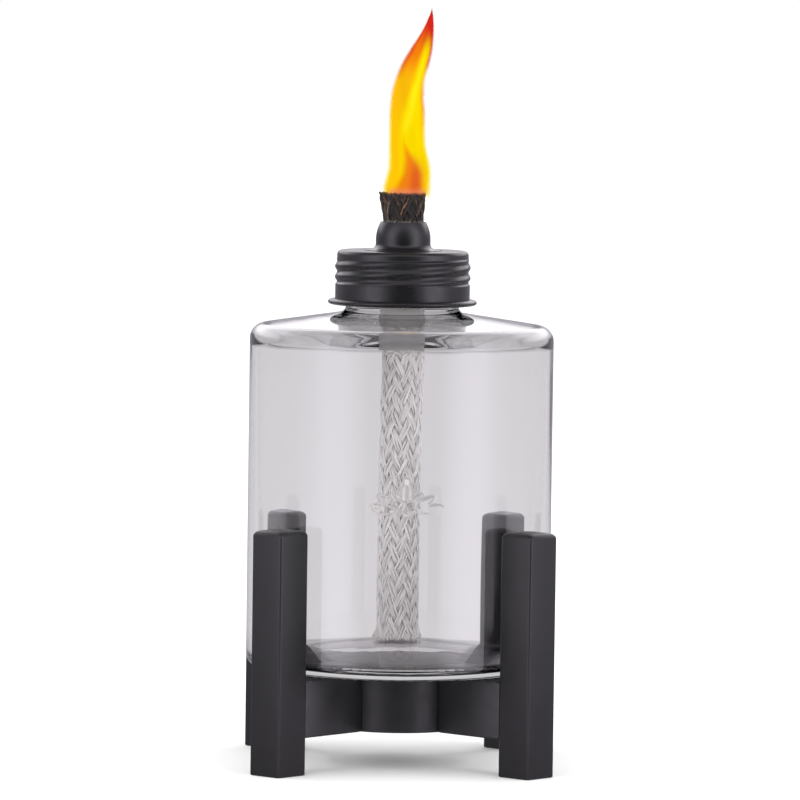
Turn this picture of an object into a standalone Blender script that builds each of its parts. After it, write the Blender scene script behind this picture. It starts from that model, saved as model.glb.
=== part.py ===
"""Table torch: a glass fuel bottle with a screw cap and a braided wick, set in a four-post stand.

Lengths are in metres and +Z is up. The feet stand on z = 0 and the bottle's axis is the z axis.
The posts stand on the diagonals, so -Y looks into the gap between the two front posts.
"""

import math

import bmesh
import bpy
from mathutils import Matrix, Vector

MM = 0.001
GAP = 0.3 * MM  # between pieces that touch each other
MERGE = 0.01 * MM
FULL_TURN = 2 * math.pi
SHARP_DEG = 35
ARC_STEPS = 4

# Stand: a round hub, four arms, and four square posts on a circle.
POST_SIDE = 11.4 * MM
POST_HEIGHT = 69.8 * MM
POST_CIRCLE = 49.95 * MM
POST_EDGE = 0.8 * MM
POST_TOP_EDGE = 1.5 * MM
ARM_WIDTH = 10.4 * MM
ARM_BOTTOM = 10.5 * MM
ARM_TOP = 27.1 * MM
ARM_EDGE = 0.6 * MM
ARM_STUB = 3.0 * MM  # length of the blank that the seat for the hub cuts away
EDGE_SEGMENTS = 2
POST_TOP_SEGMENTS = 3
HUB_RADIUS = 21.0 * MM
HUB_SEGMENTS = 48
HUB_JOINT = HUB_RADIUS + GAP / 2  # radius of the seam between the hub and an arm
POST_JOINT = POST_CIRCLE - POST_SIDE / 2 - GAP / 2  # and between an arm and its post
DOWEL_RADIUS = 2.0 * MM
DOWEL_DEPTH = 6.0 * MM  # how far a dowel goes into each of the two pieces that it joins
DOWEL_OFFSET = 3.9 * MM  # of each dowel of a pair, above and below the arm's middle
DOWEL_SEGMENTS = 12
DOWEL_HEIGHTS = {
    "lower": (ARM_BOTTOM + ARM_TOP) / 2 - DOWEL_OFFSET,
    "upper": (ARM_BOTTOM + ARM_TOP) / 2 + DOWEL_OFFSET,
}
CORNERS = {"front_left": -135, "front_right": -45, "back_right": 45, "back_left": 135}

# Bottle: a straight-sided jar with a flat shoulder, a short neck and a two-start thread.
TURNED_SEGMENTS = 40
BOTTLE_BASE = ARM_TOP + GAP
BOTTLE_RADIUS = 43.9 * MM
BOTTLE_WALL = 2.7 * MM
HEEL_RADIUS = 4.0 * MM
PUSH_UP = 1.0 * MM
HEEL_TURN = 4.0 * MM  # width of the ring that the bottle stands on, and of its inner ease
FLOOR = 35.6 * MM
SHOULDER_RADIUS = 5.0 * MM
SHOULDER_CENTRE = 122.9 * MM
SHOULDER_SLOPE_DEG = 7.5
NECK_RADIUS = 16.3 * MM
NECK_HEIGHT = 131.9 * MM
NECK_EASE = (0.6 * MM, 0.8 * MM)  # width and drop where the neck starts to flare
NECK_FOOT = 2.0 * MM  # width of the flare at its foot
BORE_EASE = 1.5 * MM
FINISH_EASE = 1.2 * MM
BORE_RADIUS = 13.6 * MM
FINISH_RADIUS = 17.6 * MM
FINISH_BOTTOM = 134.4 * MM
LIP = 146.35 * MM
LIP_EDGE = 0.6 * MM

# Screw thread, which the cap and the bottle share.
THREAD_SPACING = 3.0 * MM
THREAD_STARTS = 2
THREAD_LEAD = THREAD_SPACING * THREAD_STARTS
THREAD_CREST = 143.5 * MM  # height of a crest on the +X side
THREAD_STEP = 0.6 * MM  # between the rings of points that carry the thread
THREAD_FADE = 0.8 * MM
BOTTLE_THREAD = (137.8 * MM, 144.6 * MM)
BOTTLE_THREAD_HEIGHT = 1.35 * MM
BOTTLE_THREAD_SHARPNESS = 1.5
CAP_THREAD = (138.2 * MM, 146.0 * MM)
CAP_THREAD_HEIGHT = 0.6 * MM
CAP_THREAD_SHARPNESS = 1.0

# Cap: pressed sheet with an embossed thread and a rolled rim.
CAP_TOP = 148.2 * MM
CAP_SHEET = 0.45 * MM
CAP_ROOT_RADIUS = 19.2 * MM
CAP_SKIRT_RADIUS = 19.65 * MM
CAP_CORNER = 1.3 * MM
CAP_HOLE_RADIUS = 8.5 * MM
RIM_CENTRE = (20.3 * MM, 133.3 * MM)
RIM_RADIUS = 1.4 * MM
LINER_THICKNESS = 0.8 * MM
LINER_INNER_RADIUS = 12.0 * MM
LINER_OUTER_RADIUS = 18.2 * MM

# Wick holder: a domed collar crimped through the cap, with a sleeve inside it.
DOME_RADIUS = 8.2 * MM
DOME_SHEET = 0.5 * MM
DOME_TOP = 156.4 * MM
DOME_SHOULDER = 152.3 * MM
DOME_STEPS = 6
DOME_FILLET = 1.5 * MM
DOME_FLANGE_RADIUS = 10.9 * MM
DOME_FLANGE = 0.4 * MM
CRIMP_RADIUS = 9.4 * MM
CRIMP_HEIGHT = 0.7 * MM
CRIMP_RING_RADIUS = 11.2 * MM
CRIMP_RING_THICKNESS = 0.6 * MM
SLEEVE_RADIUS = 6.65 * MM
SLEEVE_SHEET = 0.25 * MM
SLEEVE_BOTTOM = 121.5 * MM
SLEEVE_TOP = 154.4 * MM
SLEEVE_BEAD = 0.75 * MM

# Wick: a braided jacket round a core of straight yarns.
WICK_RADIUS = 6.1 * MM
WICK_CORE_RADIUS = 3.6 * MM
WICK_BOTTOM = FLOOR + GAP
WICK_TOP = 165.0 * MM
WICK_SEGMENTS = 24

# Flame: height above the wick, half width and sideways lean, from its foot to its tip.
FLAME_STATIONS = (
    (0.0 * MM, 6.2 * MM, 0.4 * MM),
    (6.0 * MM, 6.6 * MM, 1.1 * MM),
    (19.0 * MM, 5.4 * MM, 0.6 * MM),
    (30.0 * MM, 4.6 * MM, 1.0 * MM),
    (38.0 * MM, 3.9 * MM, 3.2 * MM),
    (45.0 * MM, 2.5 * MM, 5.4 * MM),
    (50.0 * MM, 1.1 * MM, 6.8 * MM),
    (53.0 * MM, 0.2 * MM, 7.3 * MM),
)
FLAME_SEGMENTS = 20
FLAME_RINGS = 16


# ---------------------------------------------------------------- scene helpers


def clear_scene():
    for item in list(bpy.data.objects):
        bpy.data.objects.remove(item, do_unlink=True)


def collection(name):
    found = bpy.data.collections.new(name)
    bpy.context.scene.collection.children.link(found)
    return found


def material(name, colour, roughness, metallic=0.0, transmission=0.0, emission=0.0):
    made = bpy.data.materials.new(name)
    made.use_nodes = True
    shader = made.node_tree.nodes["Principled BSDF"]
    shader.inputs["Base Color"].default_value = (*colour, 1.0)
    shader.inputs["Roughness"].default_value = roughness
    shader.inputs["Metallic"].default_value = metallic
    shader.inputs["Transmission Weight"].default_value = transmission
    shader.inputs["Emission Color"].default_value = (*colour, 1.0)
    shader.inputs["Emission Strength"].default_value = emission
    made.diffuse_color = (*colour, 1.0)
    return made


def place(name, mesh, home, surface=None, smooth=True):
    """Puts a mesh in the scene as one named part."""
    part = bpy.data.objects.new(name, mesh)
    home.objects.link(part)
    if surface is not None and not mesh.materials:
        mesh.materials.append(surface)
    if smooth:
        mesh.shade_smooth()
        mesh.set_sharp_from_angle(angle=math.radians(SHARP_DEG))
    return part


def applied(part):
    """Bakes a part's modifiers into its mesh and removes the part."""
    bpy.context.view_layer.update()
    shape = part.evaluated_get(bpy.context.evaluated_depsgraph_get())
    mesh = bpy.data.meshes.new_from_object(shape)
    bpy.data.objects.remove(part, do_unlink=True)
    return mesh


def hold(name, height, parts):
    """Parents parts to an empty on the z axis, which is the axis that they slide or turn on."""
    centre = bpy.data.objects.new(name, None)
    centre.location = (0, 0, height)
    parts[0].users_collection[0].objects.link(centre)
    for part in parts:
        part.parent = centre
        part.matrix_parent_inverse = Matrix.Translation((0, 0, -height))
    return centre


# ---------------------------------------------------------------- shape helpers


def arc(centre, radius, start_deg, end_deg, steps):
    """Points of an arc in the (radius, height) plane, both ends included."""
    angles = [start_deg + (end_deg - start_deg) * i / steps for i in range(steps + 1)]
    return [
        (
            centre[0] + radius * math.cos(math.radians(a)),
            centre[1] + radius * math.sin(math.radians(a)),
        )
        for a in angles
    ]


def column(radius, start, end, step):
    """Points of a straight side from one height to another, no further apart than step."""
    count = max(1, math.ceil(abs(end - start) / step))
    return [(radius, start + (end - start) * i / count) for i in range(count + 1)]


def outline_mesh(name, outline, closed):
    """A chain of edges in the XZ plane, for a Screw modifier to turn."""
    shape = bmesh.new()
    points = [shape.verts.new((radius, 0, height)) for radius, height in outline]
    for first, second in zip(points, points[1:]):
        shape.edges.new((first, second))
    if closed:
        shape.edges.new((points[-1], points[0]))
    mesh = bpy.data.meshes.new(name)
    shape.to_mesh(mesh)
    shape.free()
    return mesh


def turned(name, outline, home, surface, segments=TURNED_SEGMENTS, closed=True):
    """Turns an outline about the z axis. The outline runs down its outer side."""
    part = place(name, outline_mesh(name, outline, closed), home, surface, smooth=False)
    screw = part.modifiers.new("Turn", "SCREW")
    screw.axis = "Z"
    screw.angle = FULL_TURN
    screw.steps = segments
    screw.render_steps = segments
    screw.use_merge_vertices = True
    screw.merge_threshold = MERGE
    screw.use_smooth_shade = True
    return part


def solid_box(size, centre):
    """A bmesh box of that size about that centre."""
    shape = bmesh.new()
    bmesh.ops.create_cube(shape, size=1.0)
    bmesh.ops.scale(shape, vec=Vector(size), verts=shape.verts)
    bmesh.ops.translate(shape, vec=Vector(centre), verts=shape.verts)
    return shape


def add_rod(shape, radius, start, end, segments):
    """Adds a closed cylinder between two points to a bmesh."""
    along = Vector(end) - Vector(start)
    turn = along.to_track_quat("Z", "Y").to_matrix().to_4x4()
    bmesh.ops.create_cone(
        shape,
        cap_ends=True,
        segments=segments,
        radius1=radius,
        radius2=radius,
        depth=along.length,
        matrix=Matrix.Translation((Vector(start) + Vector(end)) / 2) @ turn,
    )


def finished(shape, name):
    mesh = bpy.data.meshes.new(name)
    shape.to_mesh(mesh)
    shape.free()
    return mesh


def round_edges(shape, width, segments, wanted):
    """Bevels the edges of a bmesh that wanted(edge) picks."""
    edges = [edge for edge in shape.edges if wanted(edge)]
    bmesh.ops.bevel(
        shape,
        geom=edges,
        offset=width,
        offset_type="OFFSET",
        segments=segments,
        affect="EDGES",
    )


def cut(part, cutter):
    difference = part.modifiers.new("Cut " + cutter.name, "BOOLEAN")
    difference.operation = "DIFFERENCE"
    difference.solver = "EXACT"
    difference.object = cutter
    cutter.hide_render = True
    cutter.display_type = "WIRE"


# ---------------------------------------------------------------- stand


def dowel_cutter(name, reach, angles_deg, cutters):
    """Holes at each angle that clear a pair of dowels all round and at both ends."""
    shape = bmesh.new()
    depth = DOWEL_DEPTH + GAP
    for angle in angles_deg:
        outward = Vector((math.cos(math.radians(angle)), math.sin(math.radians(angle)), 0))
        for height in DOWEL_HEIGHTS.values():
            inner = outward * (reach - depth) + Vector((0, 0, height))
            outer = outward * (reach + depth) + Vector((0, 0, height))
            add_rod(shape, DOWEL_RADIUS + GAP, inner, outer, DOWEL_SEGMENTS)
    return place(name, finished(shape, name), cutters, smooth=False)


def make_hub(home, cutters, surface):
    shape = bmesh.new()
    add_rod(shape, HUB_RADIUS, (0, 0, ARM_BOTTOM), (0, 0, ARM_TOP), HUB_SEGMENTS)
    hub = place("hub", finished(shape, "hub"), home, surface)
    rim = hub.modifiers.new("Rim", "BEVEL")
    rim.width = ARM_EDGE
    rim.segments = EDGE_SEGMENTS
    rim.limit_method = "ANGLE"
    cut(hub, dowel_cutter("hub_holes", HUB_JOINT, CORNERS.values(), cutters))
    return hub


def arm_mesh(cutters, surface):
    """An arm along +X: its inner end is hollowed to the hub, and both ends take dowels."""
    end = POST_CIRCLE - POST_SIDE / 2 - GAP
    start = HUB_RADIUS - ARM_STUB
    height = ARM_TOP - ARM_BOTTOM
    shape = solid_box(
        (end - start, ARM_WIDTH, height),
        ((start + end) / 2, 0, ARM_BOTTOM + height / 2),
    )
    round_edges(
        shape,
        ARM_EDGE,
        EDGE_SEGMENTS,
        lambda edge: abs((edge.verts[0].co - edge.verts[1].co).x) > ARM_WIDTH,
    )
    arm = place("arm_blank", finished(shape, "arm"), cutters, surface)
    seat = bmesh.new()
    add_rod(seat, HUB_RADIUS + GAP, (0, 0, 0), (0, 0, ARM_TOP + ARM_BOTTOM), HUB_SEGMENTS)
    cut(arm, place("hub_seat", finished(seat, "hub_seat"), cutters, smooth=False))
    cut(arm, dowel_cutter("arm_inner_holes", HUB_JOINT, (0,), cutters))
    cut(arm, dowel_cutter("arm_outer_holes", POST_JOINT, (0,), cutters))
    return applied(arm)


def post_mesh(cutters, surface):
    """A post whose foot is at the origin and whose arm comes in from -X."""
    shape = solid_box((POST_SIDE, POST_SIDE, POST_HEIGHT), (0, 0, POST_HEIGHT / 2))
    round_edges(
        shape,
        POST_EDGE,
        EDGE_SEGMENTS,
        lambda edge: abs((edge.verts[0].co - edge.verts[1].co).z) > POST_SIDE,
    )
    round_edges(
        shape,
        POST_TOP_EDGE,
        POST_TOP_SEGMENTS,
        lambda edge: all(point.co.z > POST_HEIGHT - MERGE for point in edge.verts),
    )
    post = place("post_blank", finished(shape, "post"), cutters, surface)
    cutter = dowel_cutter("post_holes", POST_JOINT, (0,), cutters)
    cutter.location.x = -POST_CIRCLE
    cut(post, cutter)
    return applied(post)


def dowel_mesh():
    """A dowel along +X, centred on its own origin."""
    shape = bmesh.new()
    ends = (Vector((-DOWEL_DEPTH, 0, 0)), Vector((DOWEL_DEPTH, 0, 0)))
    add_rod(shape, DOWEL_RADIUS, *ends, DOWEL_SEGMENTS)
    return finished(shape, "dowel")


def radial(part, reach, angle_deg, height=0.0):
    """Turns a part that was made along +X to an angle, and moves it out from the z axis."""
    angle = math.radians(angle_deg)
    part.rotation_euler.z = angle
    part.location = (reach * math.cos(angle), reach * math.sin(angle), height)
    return part


def make_stand(home, cutters, paint, bare_wood):
    make_hub(home, cutters, paint)
    arm = arm_mesh(cutters, paint)
    post = post_mesh(cutters, paint)
    dowel = dowel_mesh()
    for corner, angle in CORNERS.items():
        radial(place("arm_" + corner, arm, home, paint), 0, angle)
        radial(place("post_" + corner, post, home, paint), POST_CIRCLE, angle)
        for level, height in DOWEL_HEIGHTS.items():
            for joint, reach in (("hub", HUB_JOINT), ("post", POST_JOINT)):
                name = f"{joint}_dowel_{corner}_{level}"
                radial(place(name, dowel, home, bare_wood), reach, angle, height)


# ---------------------------------------------------------------- thread


def smooth_step(value):
    value = min(1.0, max(0.0, value))
    return value * value * (3 - 2 * value)


def thread_rise(angle, height, zone, sharpness, run_out):
    """From 0 at a root to 1 at a crest, of a right-hand thread.

    It fades to nothing at the zone's top, and to run_out at its bottom."""
    climb = height - THREAD_CREST - THREAD_LEAD * angle / FULL_TURN
    wave = 0.5 + 0.5 * math.cos(FULL_TURN * climb / THREAD_SPACING)
    above_bottom = smooth_step((height - zone[0]) / THREAD_FADE)
    below_top = smooth_step((zone[1] - height) / THREAD_FADE)
    return below_top * wave**sharpness * above_bottom + run_out * (1 - above_bottom)


def emboss_thread(mesh, zone, reach, rise, sharpness, run_out=0.0):
    """Moves the points between the two radii of reach outwards along the thread."""
    for point in mesh.vertices:
        radius = math.hypot(point.co.x, point.co.y)
        if reach[0] <= radius <= reach[1] and zone[0] - MERGE < point.co.z < zone[1]:
            angle = math.atan2(point.co.y, point.co.x)
            share = thread_rise(angle, point.co.z, zone, sharpness, run_out)
            grown = 1 + rise * share / radius
            point.co.x *= grown
            point.co.y *= grown


# ---------------------------------------------------------------- bottle


def bottle_outline():
    """From the floor's middle, up the inside, over the lip and down the outside to the base."""
    slope = math.radians(SHOULDER_SLOPE_DEG)
    inner_radius = BOTTLE_RADIUS - BOTTLE_WALL
    inner_corner = HEEL_RADIUS
    shoulder = (BOTTLE_RADIUS - SHOULDER_RADIUS, SHOULDER_CENTRE)
    inner_bend = SHOULDER_RADIUS - BOTTLE_WALL
    slope_start = shoulder[0] + SHOULDER_RADIUS * math.sin(slope)
    slope_top = SHOULDER_CENTRE + SHOULDER_RADIUS * math.cos(slope)
    inner_top = SHOULDER_CENTRE + inner_bend * math.cos(slope)
    neck_foot = NECK_RADIUS + NECK_FOOT
    rise_to_neck = (slope_start - neck_foot) * math.tan(slope)
    bore_foot = BORE_RADIUS + BORE_EASE
    rise_to_bore = (shoulder[0] - bore_foot) * math.tan(slope)
    inside = [(0, FLOOR)]
    inside += arc(
        (inner_radius - inner_corner, FLOOR + inner_corner), inner_corner, -90, 0, 4
    )
    inside += arc(shoulder, inner_bend, 0, 90 - SHOULDER_SLOPE_DEG, 4)
    inside += [
        (bore_foot, inner_top + rise_to_bore),
        (BORE_RADIUS, inner_top + rise_to_bore + BORE_EASE),
    ]
    lip = arc((BORE_RADIUS + LIP_EDGE, LIP - LIP_EDGE), LIP_EDGE, 180, 90, 2)
    lip += arc((FINISH_RADIUS - LIP_EDGE, LIP - LIP_EDGE), LIP_EDGE, 90, 0, 2)
    side = column(FINISH_RADIUS, BOTTLE_THREAD[1], BOTTLE_THREAD[0], THREAD_STEP)
    side += [(FINISH_RADIUS, FINISH_BOTTOM), (NECK_RADIUS, FINISH_BOTTOM - FINISH_EASE)]
    side += [(NECK_RADIUS, NECK_HEIGHT)]
    side += [(NECK_RADIUS + NECK_EASE[0], NECK_HEIGHT - NECK_EASE[1])]
    side += [(neck_foot, slope_top + rise_to_neck)]
    side += arc(shoulder, SHOULDER_RADIUS, 90 - SHOULDER_SLOPE_DEG, 0, 5)
    heel = (BOTTLE_RADIUS - HEEL_RADIUS, BOTTLE_BASE + HEEL_RADIUS)
    side += arc(heel, HEEL_RADIUS, 0, -90, 4)
    base = [(heel[0] - HEEL_TURN, BOTTLE_BASE)]
    base += [(heel[0] - 2 * HEEL_TURN, BOTTLE_BASE + PUSH_UP)]
    return inside + lip + side + base + [(0, BOTTLE_BASE + PUSH_UP)]


def make_bottle(home, glass):
    blank = turned("bottle_blank", bottle_outline(), home, glass, closed=False)
    mesh = applied(blank)
    mesh.name = "glass_bottle"
    outside = (FINISH_RADIUS - GAP, FINISH_RADIUS + GAP)
    emboss_thread(
        mesh, BOTTLE_THREAD, outside, BOTTLE_THREAD_HEIGHT, BOTTLE_THREAD_SHARPNESS
    )
    return place("glass_bottle", mesh, home, glass)


# ---------------------------------------------------------------- cap


def cap_side(radius_change):
    """The cap's side from its top corner down to its skirt, moved in or out by radius_change."""
    points = column(
        CAP_ROOT_RADIUS + radius_change, CAP_THREAD[1], CAP_THREAD[0], THREAD_STEP
    )
    return points + [(CAP_SKIRT_RADIUS + radius_change, CAP_THREAD[0] - THREAD_FADE)]


def cap_outline():
    """From the hole, out over the top, down the outside, round the rim and back up the inside."""
    corner = (CAP_ROOT_RADIUS - CAP_CORNER, CAP_TOP - CAP_CORNER)
    skirt_inside = CAP_SKIRT_RADIUS - CAP_SHEET
    top = [(CAP_HOLE_RADIUS, CAP_TOP)] + arc(corner, CAP_CORNER, 90, 0, 3)
    outside = cap_side(0)
    roll_start = math.degrees(math.acos((CAP_SKIRT_RADIUS - RIM_CENTRE[0]) / RIM_RADIUS))
    roll_end = -math.degrees(math.acos((skirt_inside - RIM_CENTRE[0]) / RIM_RADIUS))
    rim = arc(RIM_CENTRE, RIM_RADIUS, roll_start, roll_end, 8)
    inside = list(reversed(cap_side(-CAP_SHEET)))
    under_top = list(reversed(arc(corner, CAP_CORNER - CAP_SHEET, 90, 0, 3)))
    return top + outside + rim + inside + under_top + [(CAP_HOLE_RADIUS, CAP_TOP - CAP_SHEET)]


def make_cap_shell(home, paint):
    blank = turned("cap_blank", cap_outline(), home, paint)
    mesh = applied(blank)
    mesh.name = "cap_shell"
    both_sides = (CAP_ROOT_RADIUS - CAP_SHEET - GAP, CAP_ROOT_RADIUS + GAP)
    skirt_step = (CAP_SKIRT_RADIUS - CAP_ROOT_RADIUS) / CAP_THREAD_HEIGHT
    emboss_thread(
        mesh, CAP_THREAD, both_sides, CAP_THREAD_HEIGHT, CAP_THREAD_SHARPNESS, skirt_step
    )
    return place("cap_shell", mesh, home, paint)


def ring_outline(inner, outer, bottom, top):
    return [(inner, top), (outer, top), (outer, bottom), (inner, bottom)]


def make_liner(home, soft):
    top = CAP_TOP - CAP_SHEET - GAP
    outline = ring_outline(
        LINER_INNER_RADIUS, LINER_OUTER_RADIUS, top - LINER_THICKNESS, top
    )
    return turned("cap_liner", outline, home, soft)


# ---------------------------------------------------------------- wick holder


def dome_outline():
    """Down the dome's outside, over its flange, through the cap to the crimp, and up the inside."""
    inside = DOME_RADIUS - DOME_SHEET
    opening = SLEEVE_RADIUS - SLEEVE_SHEET
    flange_bottom = CAP_TOP + GAP
    flange_top = flange_bottom + DOME_FLANGE
    crimp_top = CAP_TOP - CAP_SHEET - 2 * GAP - CRIMP_RING_THICKNESS
    crimp_bottom = crimp_top - CRIMP_HEIGHT
    bend = DOME_TOP - DOME_SHOULDER
    outside = [(opening, DOME_TOP)]
    outside += [
        (
            opening + DOME_SHEET + (DOME_RADIUS - opening - DOME_SHEET) * math.sin(a),
            DOME_SHOULDER + bend * math.cos(a),
        )
        for a in [math.pi / 2 * i / DOME_STEPS for i in range(1, DOME_STEPS + 1)]
    ]
    fillet = (DOME_RADIUS + DOME_FILLET, flange_top + DOME_FILLET)
    outside += arc(fillet, DOME_FILLET, 180, 270, 3)
    outside += [(DOME_FLANGE_RADIUS, flange_top), (DOME_FLANGE_RADIUS, flange_bottom)]
    outside += [(DOME_RADIUS, flange_bottom), (DOME_RADIUS, crimp_top)]
    outside += [(CRIMP_RADIUS, crimp_top), (CRIMP_RADIUS, crimp_bottom)]
    within = [(inside, crimp_bottom), (inside, DOME_SHOULDER)]
    inner_bend = bend - DOME_SHEET
    within += [
        (
            opening + (inside - opening) * math.cos(a),
            DOME_SHOULDER + inner_bend * math.sin(a),
        )
        for a in [math.pi / 2 * i / ARC_STEPS for i in range(1, ARC_STEPS + 1)]
    ]
    return outside + within


def make_crimp_ring(home, steel):
    top = CAP_TOP - CAP_SHEET - GAP
    outline = ring_outline(
        DOME_RADIUS + GAP, CRIMP_RING_RADIUS, top - CRIMP_RING_THICKNESS, top
    )
    return turned("crimp_ring", outline, home, steel)


def sleeve_outline():
    """A thin tube with one bead round it, which centres it in the dome's spigot."""
    inner = SLEEVE_RADIUS - SLEEVE_SHEET
    bead = CAP_TOP
    outside = [(SLEEVE_RADIUS, SLEEVE_TOP), (SLEEVE_RADIUS, bead + SLEEVE_BEAD)]
    outside += [(SLEEVE_RADIUS + SLEEVE_BEAD, bead), (SLEEVE_RADIUS, bead - SLEEVE_BEAD)]
    outside += [(SLEEVE_RADIUS, SLEEVE_BOTTOM), (inner, SLEEVE_BOTTOM)]
    return outside + [(inner, SLEEVE_TOP)]


def make_cap(home, paint, steel, soft):
    parts = [
        make_cap_shell(home, paint),
        turned("wick_dome", dome_outline(), home, paint),
        make_crimp_ring(home, steel),
        turned("wick_sleeve", sleeve_outline(), home, steel, WICK_SEGMENTS),
    ]
    hold("cap_thread_axis", LIP, parts)
    hold("liner_axis", LIP, [make_liner(home, soft)])


# ---------------------------------------------------------------- wick and flame


def make_wick(home, braid, yarn):
    jacket = ring_outline(WICK_CORE_RADIUS + GAP, WICK_RADIUS, WICK_BOTTOM, WICK_TOP)
    core = [(0, WICK_TOP), (WICK_CORE_RADIUS, WICK_TOP)]
    core += [(WICK_CORE_RADIUS, WICK_BOTTOM), (0, WICK_BOTTOM)]
    return [
        turned("wick_jacket", jacket, home, braid, WICK_SEGMENTS),
        turned("wick_core", core, home, yarn, WICK_SEGMENTS, closed=False),
    ]


def flame_section(height):
    """Half width and lean of the flame at a height above its foot, eased between the stations."""
    for low, high in zip(FLAME_STATIONS, FLAME_STATIONS[1:]):
        if height <= high[0]:
            share = (height - low[0]) / (high[0] - low[0])
            return (
                low[1] + (high[1] - low[1]) * share,
                low[2] + (high[2] - low[2]) * share,
            )
    return FLAME_STATIONS[-1][1:]


def make_flame(home, glow):
    """A ball drawn out to the flame's height, width and lean."""
    shape = bmesh.new()
    bmesh.ops.create_uvsphere(
        shape, u_segments=FLAME_SEGMENTS, v_segments=FLAME_RINGS, radius=1.0
    )
    foot = WICK_TOP + GAP
    tall = FLAME_STATIONS[-1][0]
    for point in shape.verts:
        height = tall * (1 + point.co.z) / 2
        half_width, lean = flame_section(height)
        across = math.hypot(point.co.x, point.co.y)
        spread = half_width / across if across > MERGE else 0.0
        point.co = Vector((point.co.x * spread + lean, point.co.y * spread, foot + height))
    return place("flame", finished(shape, "flame"), home, glow)


# ---------------------------------------------------------------- assembly


def main():
    clear_scene()
    home = collection("table_torch")
    cutters = collection("table_torch_cutters")
    stand_paint = material("stand_paint", (0.018, 0.017, 0.019), 0.42)
    bare_wood = material("bare_wood", (0.55, 0.38, 0.22), 0.7)
    glass = material("clear_glass", (0.93, 0.94, 0.95), 0.02, transmission=1.0)
    cap_paint = material("cap_paint", (0.012, 0.012, 0.013), 0.35)
    steel = material("tinned_steel", (0.62, 0.62, 0.61), 0.35, metallic=1.0)
    soft = material("liner_foam", (0.75, 0.74, 0.70), 0.85)
    braid = material("glass_fibre_braid", (0.66, 0.65, 0.60), 0.8)
    yarn = material("glass_fibre_yarn", (0.72, 0.71, 0.66), 0.85)
    glow = material("flame_glow", (1.0, 0.62, 0.08), 0.9, emission=2.0)
    make_stand(home, cutters, stand_paint, bare_wood)
    hold("bottle_lift_axis", BOTTLE_BASE, [make_bottle(home, glass)])
    make_cap(home, cap_paint, steel, soft)
    hold("wick_feed_axis", WICK_BOTTOM, make_wick(home, braid, yarn) + [make_flame(home, glow)])


main()
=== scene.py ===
"""Looks of the table torch: glass bottle, black cap and stand, braided wick and flame.

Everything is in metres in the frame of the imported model. The z axis is the bottle's axis.
"""

import math
import random

import bpy
import numpy as np
from mathutils import Matrix, Vector


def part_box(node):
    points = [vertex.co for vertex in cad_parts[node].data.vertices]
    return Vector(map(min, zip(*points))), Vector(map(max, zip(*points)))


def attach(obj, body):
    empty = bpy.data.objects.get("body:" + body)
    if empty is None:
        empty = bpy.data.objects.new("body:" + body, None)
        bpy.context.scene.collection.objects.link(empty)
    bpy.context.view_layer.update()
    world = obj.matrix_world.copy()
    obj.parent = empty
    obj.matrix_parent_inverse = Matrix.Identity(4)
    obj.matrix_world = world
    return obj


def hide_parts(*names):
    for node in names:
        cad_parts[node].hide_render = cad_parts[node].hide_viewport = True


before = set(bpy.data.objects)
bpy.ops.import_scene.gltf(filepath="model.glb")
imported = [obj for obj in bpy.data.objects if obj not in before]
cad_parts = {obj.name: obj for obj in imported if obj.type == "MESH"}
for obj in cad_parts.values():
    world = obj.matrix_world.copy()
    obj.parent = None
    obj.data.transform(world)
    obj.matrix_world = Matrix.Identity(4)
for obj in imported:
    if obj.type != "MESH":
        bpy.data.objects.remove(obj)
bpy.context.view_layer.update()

MM = 0.001
FULL_TURN = 2 * math.pi

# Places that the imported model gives.
HUB_LOW, HUB_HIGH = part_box("hub")
BOTTLE_LOW, BOTTLE_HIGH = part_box("glass_bottle")
CAP_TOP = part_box("cap_shell")[1][2]
DOME_LOW, DOME_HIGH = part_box("wick_dome")
WICK_LOW, WICK_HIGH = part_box("wick_jacket")

# Camera: level with the cap, a little left of the stand's front.
CAMERA_POINT = (-0.0851, -1.8133, 0.2219)
CAMERA_YAW_DEG = 2.678
CAMERA_PITCH_DEG = 3.687
CAMERA_ROLL_DEG = 0.788
CAMERA_LENS = 283.3
CAMERA_SENSOR = 36.0
CAMERA_CLIP_END = 50.0

# Studio: shares of the way from the back (0) to the front (1), and from the nadir (0) to the
# zenith (1), each with its brightness.
AROUND_STOPS = (
    (0.0, 0.18), (0.33, 0.20), (0.50, 0.27), (0.64, 0.50), (0.74, 1.0), (0.84, 1.0),
    (0.90, 0.60), (0.95, 0.05), (1.0, 0.03),
)
UPWARD_STOPS = ((0.0, 0.25), (0.30, 0.75), (0.45, 1.0), (0.70, 1.0), (0.92, 0.35), (1.0, 0.3))
REFRACTED_STOPS = (
    (0.0, 0.35), (0.20, 0.50), (0.40, 0.52), (0.445, 0.84), (0.475, 0.77), (0.53, 0.72),
    (0.65, 0.52), (0.82, 0.47), (1.0, 0.45),
)
MIRROR_LIGHT = (2.3, 2.16, 2.44)
WINDOW_AROUND_STOPS = ((0.0, 1.0), (0.25, 1.0), (0.40, 0.0))
WINDOW_UPWARD_STOPS = ((0.0, 0.0), (0.56, 0.0), (0.63, 1.0), (0.80, 1.0), (0.92, 0.0))
WINDOW_LIGHT = (1.9, 1.84, 1.94)
MIRROR_LEFT = 0.92
MIRROR_RIGHT = 1.12
FLOOR_LIGHT = 1.3
FLOOR_REACH = 12.0
# Softboxes: place, size and power.
SOFTBOXES = {
    "softbox_left": ((-0.95, -0.70, 0.35), (0.9, 0.9), 2.4),
    "softbox_right": ((1.00, -0.60, 0.35), (0.9, 0.9), 3.0),
    "softbox_top": ((0.0, 0.1, 1.2), (0.8, 0.8), 2.0),
}
SOFTBOX_AIM = (0.0, 0.0, 0.11)

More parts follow.
